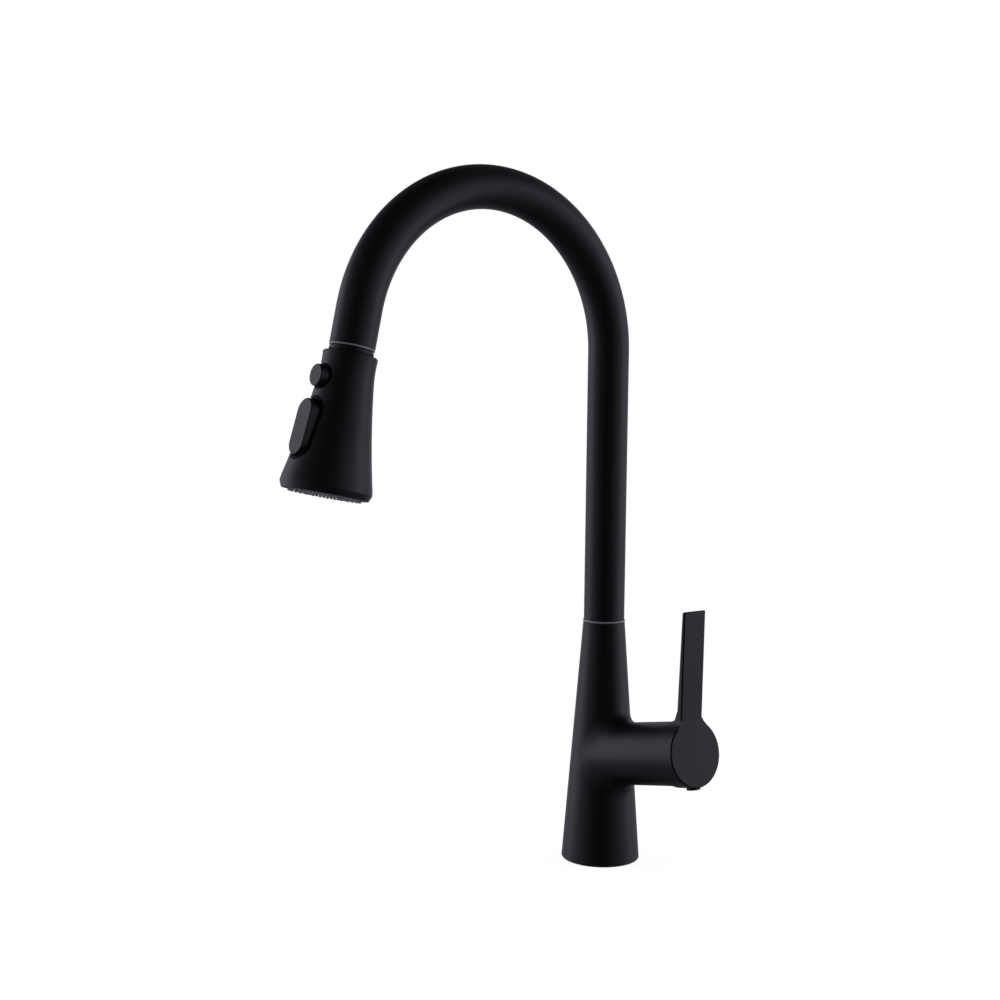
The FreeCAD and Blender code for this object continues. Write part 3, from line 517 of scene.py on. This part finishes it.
def lever_blade():
    """The blade: its side outline kept inside its front outline, with rounded roots at the hub."""
    centre = Vector((sqrt((hub_radius + root_round) ** 2 - (blade_half + root_round) ** 2),
                     blade_half + root_round))
    start = (centre * hub_radius / (hub_radius + root_round)) - centre
    sweep = [start.lerp(Vector((0, -root_round)), index / 10).normalized() * root_round + centre
             for index in range(11)]
    side = [(12, sweep[0].y)] + [tuple(point) for point in sweep] + [(blade_top, blade_half)]
    plan = side + [(along, -over) for along, over in reversed(side)]
    edge_view = [(10, hub_front), (21.3, hub_front), (blade_top, 108.7), (blade_top, 105.9), (29, 90.2),
                 (22.1, 86), (19.9, 86), (18.6, 88.4), (10, 88.4)]
    blade = worked(drawn_prism(plan, 80, 112, Vector((0, 0, 1))),
                   drawn_prism(edge_view, -15, 15, Vector((0, 1, 0))), "INTERSECT")
    bmesh.ops.dissolve_limit(blade, angle_limit=radians(0.4), verts=blade.verts[:], edges=blade.edges[:],
                             use_dissolve_boundaries=False)
    sharp = [edge for edge in blade.edges
             if edge.calc_face_angle(0) > radians(40) and max(vert.co.x for vert in edge.verts) > 22.5 * MM]
    bmesh.ops.bevel(blade, geom=sharp, offset=edge_break * MM, segments=1, profile=0.5, affect="EDGES",
                    clamp_overlap=False, material=-1)
    return blade


def cast_lever():
    """Hub and blade in one."""
    mesh = worked(lever_hub(), lever_blade(), "UNION")
    bmesh.ops.transform(mesh, matrix=arm_frame, verts=mesh.verts)
    return mesh


finished(cast_lever(), "lever", matte_black, "lever", "matte_black", "lever_handle", crease=40)

cap_black = powder_coat("moulded_black_plastic", (.006, .006, .007), (.010, .010, .011),
                        (.32, .42), 2200, 0.00001)
cap_frame = arm_frame @ Matrix.Translation((0, 0, 87.2 * MM)) @ Matrix.Rotation(radians(-90), 4, "Y")
finished(lathe([(0, 21.7), (4.6, 21.7), (4.6, 23.4, .5), (1.6, 23.4, .15), (1.3, 23.0), (0, 23.0)],
               cap_frame, 64),
         "screw_cap", cap_black, "lever", "black_plastic", "grub_screw_cap")

# ---------------------------------------------------------------- spray hose
# The last length of nylon-braided hose, swaged into the spray head. It feeds out of the spout
# when the head is pulled down, so its rings are closer together where they will be drawn apart.

hose_radius = 6.25
hose_bore = 4.2
drawn_length = 0.312
hose_from = -21.9
hose_to = -10.1


def woven_sleeve():
    """Nylon braid: two crossing sets of flat strands over a dark core."""
    braid = bpy.data.materials.new("nylon_braid")
    braid.use_nodes = True
    nodes, links = braid.node_tree.nodes, braid.node_tree.links
    shader = nodes["Principled BSDF"]
    shader.inputs["Specular IOR Level"].default_value = 0.4
    way = nodes.new("ShaderNodeUVMap")
    way.uv_map = "around_and_along"
    weave = []
    for lean in (-45, 45):
        turn = nodes.new("ShaderNodeMapping")
        turn.inputs["Rotation"].default_value = (0, 0, radians(lean))
        links.new(way.outputs["UV"], turn.inputs["Vector"])
        strands = nodes.new("ShaderNodeTexWave")
        strands.inputs["Scale"].default_value = 5
        links.new(turn.outputs["Vector"], strands.inputs["Vector"])
        weave.append(strands.outputs["Fac"])
    over = nodes.new("ShaderNodeMath")
    over.operation = "MAXIMUM"
    links.new(weave[0], over.inputs[0])
    links.new(weave[1], over.inputs[1])
    tone = ramp_of(nodes, "strand", [(0.45, (.012, .012, .013)), (0.95, (.11, .11, .115))])
    links.new(over.outputs["Value"], tone.inputs["Fac"])
    links.new(tone.outputs["Color"], shader.inputs["Base Color"])
    sheen = nodes.new("ShaderNodeMapRange")
    sheen.inputs["To Min"].default_value = 0.75
    sheen.inputs["To Max"].default_value = 0.42
    links.new(over.outputs["Value"], sheen.inputs["Value"])
    links.new(sheen.outputs["Result"], shader.inputs["Roughness"])
    bump = nodes.new("ShaderNodeBump")
    bump.inputs["Distance"].default_value = 0.0004
    links.new(over.outputs["Value"], bump.inputs["Height"])
    links.new(bump.outputs["Normal"], shader.inputs["Normal"])
    return braid


def drawn_hose():
    """Rings placed so that they come out evenly spaced once the hose is drawn out."""
    count = 96
    places = [0.5 - sin(asin(1 - 2 * index / count) / 3) for index in range(count + 1)]
    stations = [hose_from + (hose_to - hose_from) * place for place in places]
    outside = [(hose_radius, station) for station in stations]
    mesh = lathe([(hose_bore, hose_from)] + outside + [(hose_bore, hose_to)], steps=48)
    along = mesh.loops.layers.uv.new("around_and_along")
    girth = 2 * pi * hose_radius * MM
    repeats = 4
    for face in mesh.faces:
        middle = face.calc_center_median()
        for loop in face.loops:
            spot = loop.vert.co
            turn = Vector((spot.x, spot.y)).angle_signed(Vector((middle.x, middle.y)), 0)
            base = Vector((middle.x, middle.y)).angle_signed(Vector((1, 0)), 0)
            place = (spot.z / MM - hose_from) / (hose_to - hose_from)
            drawn = place * place * (3 - 2 * place)
            loop[along].uv = ((base + turn) / (2 * pi) * repeats, drawn * drawn_length / girth * repeats)
    bmesh.ops.transform(mesh, matrix=spray_frame, verts=mesh.verts)
    return mesh


nylon_braid = woven_sleeve()
hose_end = finished(drawn_hose(), "hose_drawn_out", nylon_braid, None, "hose", "spray_hose_end")
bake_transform(hose_end)

# ---------------------------------------------------------------- spray head
# The neck plugs into the docking ring. The shell is moulded in black ABS, flares from a waist
# below its shoulder, and has one round and one oblong window in its front.

pin_height = 19.4
pin_station = 53.9
button_station = 21.8
head_black = powder_coat("matte_black_moulding", (.0070, .0072, .0086), (.0105, .0107, .0124),
                         (.36, .45), 2000, 0.00002)

finished(lathe([(7.45, 3), (7.45, -5), (9.9, -5, .2), (10.7, 1.2), (12.3, 1.2), (12.3, 1.8), (13.7, 1.95, .2),
                (13.7, 3.6, .1), (12.7, 3.7), (12.7, 4.4), (13.7, 4.5), (13.7, 9.4), (4.2, 9.4), (4.2, 3)],
               spray_frame),
         "head_neck_turned", head_black, "spray_head", "matte_black_plastic", "head_neck")


def sagging(first, second, radius, count):
    """Points of a hollow curve between two (radius, height) corners, its centre outside the part."""
    start, end = Vector(first), Vector(second)
    chord = end - start
    side = Vector((chord.y, -chord.x)).normalized()
    middle = (start + end) / 2 + side * sqrt(radius ** 2 - (chord.length / 2) ** 2)
    return [tuple(middle + (start.lerp(end, index / count) - middle).normalized() * radius)
            for index in range(count + 1)]


def stadium(half_long, half_wide, low, high):
    """An oblong bar with round ends, its length along z and its height along y."""
    mesh = bmesh.new()
    segments = 96
    bmesh.ops.create_circle(mesh, cap_ends=True, segments=segments, radius=half_wide * MM,
                            matrix=Matrix.Rotation(radians(90), 4, "X")
                            @ Matrix.Rotation(pi / segments, 4, "Z"))
    for vert in mesh.verts:
        vert.co.z += (half_long - half_wide) * MM * (1 if vert.co.z > 0 else -1)
        vert.co.y = low * MM
    made = bmesh.ops.extrude_face_region(mesh, geom=mesh.faces[:])["geom"]
    bmesh.ops.translate(mesh, vec=(0, (high - low) * MM, 0),
                        verts=[item for item in made if isinstance(item, bmesh.types.BMVert)])
    bmesh.ops.recalc_face_normals(mesh, faces=mesh.faces)
    return mesh


def leaning(degrees):
    """The tilt of the selector: its lower end swung outward about its cross pin."""
    pin = Matrix.Translation((0, pin_height * MM, pin_station * MM))
    return pin @ Matrix.Rotation(radians(-degrees), 4, "X") @ Matrix.Translation((0, -pin_height * MM, 0))


def round_bar(radius, low, high):
    """A round bar along y at the pause button's station."""
    mesh = bmesh.new()
    bmesh.ops.create_cone(mesh, cap_ends=True, segments=96, radius1=radius * MM, radius2=radius * MM,
                          depth=(high - low) * MM,
                          matrix=Matrix.Translation((0, (high + low) / 2 * MM, button_station * MM))
                          @ Matrix.Rotation(radians(90), 4, "X"))
    return mesh


def moulded_shell():
    """The shell's wall, then its two windows."""
    outside = ([(16.0, 4.7, .2), (16.7, 5.4)] + sagging((16.7, 5.4), (17.2, 22.5), 90, 20)[1:]
               + sagging((17.2, 22.5), (27.3, 81.95), 620, 44)[1:])
    mesh = lathe([(14.2, 20), (14.2, 4.7)] + outside + [(24.5, 81.95)], steps=224)
    mesh = worked(mesh, round_bar(8.15, 5, 30), "DIFFERENCE")
    window = stadium(20.3, 9.9, 5, 40)
    bmesh.ops.transform(window, matrix=leaning(7.5), verts=window.verts)
    mesh = worked(mesh, window, "DIFFERENCE")
    bmesh.ops.transform(mesh, matrix=spray_frame, verts=mesh.verts)
    return mesh


finished(moulded_shell(), "head_shell_moulded", head_black, "spray_head", "matte_black_plastic", "head_shell",
         crease=30)

finished(lathe([(24.6, 82), (27.4, 82, .06), (28.0, 86.2, .5), (26.4, 90.2, .5), (23.9, 90.2, .2), (23.9, 87.4),
                (24.6, 87.4)], spray_frame),
         "outlet_bezel", head_black, "spray_head", "matte_black_plastic", "face_bezel")

# ---------------------------------------------------------------- outlet face
# Soft silicone tips stand through a black plate in three rings, so scale can be rubbed off them.
# They are moulded in one with the pad behind the plate.

silicone = powder_coat("pale_silicone", (.62, .62, .64), (.76, .76, .78), (.5, .62), 1400, 0.00003)
silicone.node_tree.nodes["Principled BSDF"].inputs["Subsurface Weight"].default_value = 0.08


def silicone_tips():
    """The pad and its tips, each a small cone with a bored, rounded end."""
    mesh = lathe([(8.45, 84.4), (23.8, 84.4), (23.8, 86.8), (8.45, 86.8)], steps=96)
    tip = lathe([(0, 86.4), (1.0, 86.4), (1.0, 90.2), (0.95, 91.4), (0.5, 91.6), (0.3, 90.9), (0, 90.9)],
                steps=10)
    shape = bpy.data.meshes.new("tip")
    tip.to_mesh(shape)
    tip.free()
    for count, radius in ((30, 21.4), (24, 17.2), (18, 12.8)):
        for index in range(count):
            turn = 2 * pi * index / count
            fresh = len(mesh.verts)
            mesh.from_mesh(shape)
            mesh.verts.ensure_lookup_table()
            bmesh.ops.translate(mesh, vec=(radius * cos(turn) * MM, radius * sin(turn) * MM, 0),
                                verts=mesh.verts[fresh:])
    bpy.data.meshes.remove(shape)
    bmesh.ops.transform(mesh, matrix=spray_frame, verts=mesh.verts)
    return mesh


finished(silicone_tips(), "silicone_tips", silicone, "spray_head", "grey_rubber", "rubber_nozzles")

# ---------------------------------------------------------------- pause button and selector
# Two moulded buttons with a soft-touch black finish: a round one on a spring and an oblong one
# that rocks on a cross pin between stream and spray.

button_black = powder_coat("soft_touch_black", (.0120, .0122, .0138), (.0165, .0168, .0188),
                           (.36, .46), 2400, 0.00002)


def button_solid(mesh, face_height, rounding, where):
    """Round a button's face edge and put it in its place."""
    rim = [edge for edge in mesh.edges
           if all(abs(vert.co.y - face_height * MM) < 1e-6 for vert in edge.verts)]
    bmesh.ops.bevel(mesh, geom=rim, offset=rounding * MM, segments=3, profile=0.5, affect="EDGES",
                    clamp_overlap=True, material=-1)
    bmesh.ops.transform(mesh, matrix=where, verts=mesh.verts)
    return mesh


pause_face = 21.4
finished(button_solid(round_bar(6.75, 14.4, pause_face), pause_face, 0.7, spray_frame),
         "pause_button_cap", button_black, "pause_button", "black_plastic", "pause_button")

rocker_face = 25.3
rocker = stadium(17.3, 7.9, 16.6, rocker_face)
rocker = worked(rocker, lathe([(0, -12), (1.06, -12), (1.06, 12), (0, 12)],
                              Matrix.Translation((0, pin_height * MM, 0))
                              @ Matrix.Rotation(radians(90), 4, "Y"), 32),
                "DIFFERENCE")
finished(button_solid(rocker, rocker_face, 0.8, spray_frame @ leaning(4.8)),
         "selector_rocker", button_black, "spray_toggle", "black_plastic", "spray_toggle")

# ---------------------------------------------------------------- what is inside and underneath
# The bought-in cartridge, the waterway, seals, bearings, hose and screws keep their turned shapes
# and get the finish each is supplied in. What lines the two windows is painted shade: a dull near-black that
# stands for the shadow in the gaps round the buttons.


def metal(name, dark, light, rough, grain):
    """Turned metal: a fine grain in the roughness and bump, and a little tarnish."""
    made = powder_coat(name, dark, light, rough, grain, 0.00001, 120)
    made.node_tree.nodes["Principled BSDF"].inputs["Metallic"].default_value = 1
    return made


# Painted shade: a dull near-black that stands for the shadow down in the gaps round the two buttons.
painted_gap_shade = powder_coat("painted_gap_shade_material", (.003, .003, .003), (.005, .005, .005),
                           (.6, .7), 2000, 0.00001)
painted_gap_shade.node_tree.nodes["Principled BSDF"].inputs["Specular IOR Level"].default_value = 0.15
oxide_black = metal("oxide_blackened_steel", (.012, .012, .013), (.02, .02, .022), (.4, .5), 1600)
finishes = {
    "matte_black": matte_black,
    "matte_black_plastic": head_black,
    "black_plastic": cap_black,
    "grey_plastic": pale_grey,
    "white_plastic": powder_coat("natural_acetal", (.66, .66, .63), (.74, .74, .71), (.35, .45), 1200, 0.00001),
    "brass": metal("turned_brass", (.60, .42, .17), (.72, .52, .24), (.24, .36), 1600),
    "steel": metal("stainless_steel", (.48, .48, .49), (.60, .60, .61), (.22, .34), 2000),
    "ceramic": powder_coat("alumina_disc", (.74, .73, .69), (.80, .79, .76), (.12, .2), 800, 0.000004),
    "ceramic_grey": powder_coat("grey_disc", (.30, .31, .33), (.36, .37, .39), (.12, .2), 800, 0.000004),
    "black_rubber": powder_coat("black_rubber", (.014, .014, .014), (.022, .022, .022),
                                (.6, .75), 1800, 0.00004),
    "grey_rubber": silicone,
    "hose": powder_coat("braided_hose", (.012, .012, .013), (.045, .045, .05), (.5, .7), 900, 0.0003, 700),
}
# The toggle frame and the pause button's guide get the painted gap shade; the toggle pin keeps its own oxide
# black.
pin_oxide_and_painted_gap_shade = {"toggle_pin": oxide_black, "toggle_frame": painted_gap_shade, "pause_button_guide": painted_gap_shade}
for part in frame["record"]["subparts"]:
    item = frame["nodes"][part["node"]]
    finish = pin_oxide_and_painted_gap_shade.get(part["node"], finishes[part["material_slot"]])
    if not item.data.materials:
        item.data.materials.append(finish)
    for place in item.material_slots:
        place.material = finish
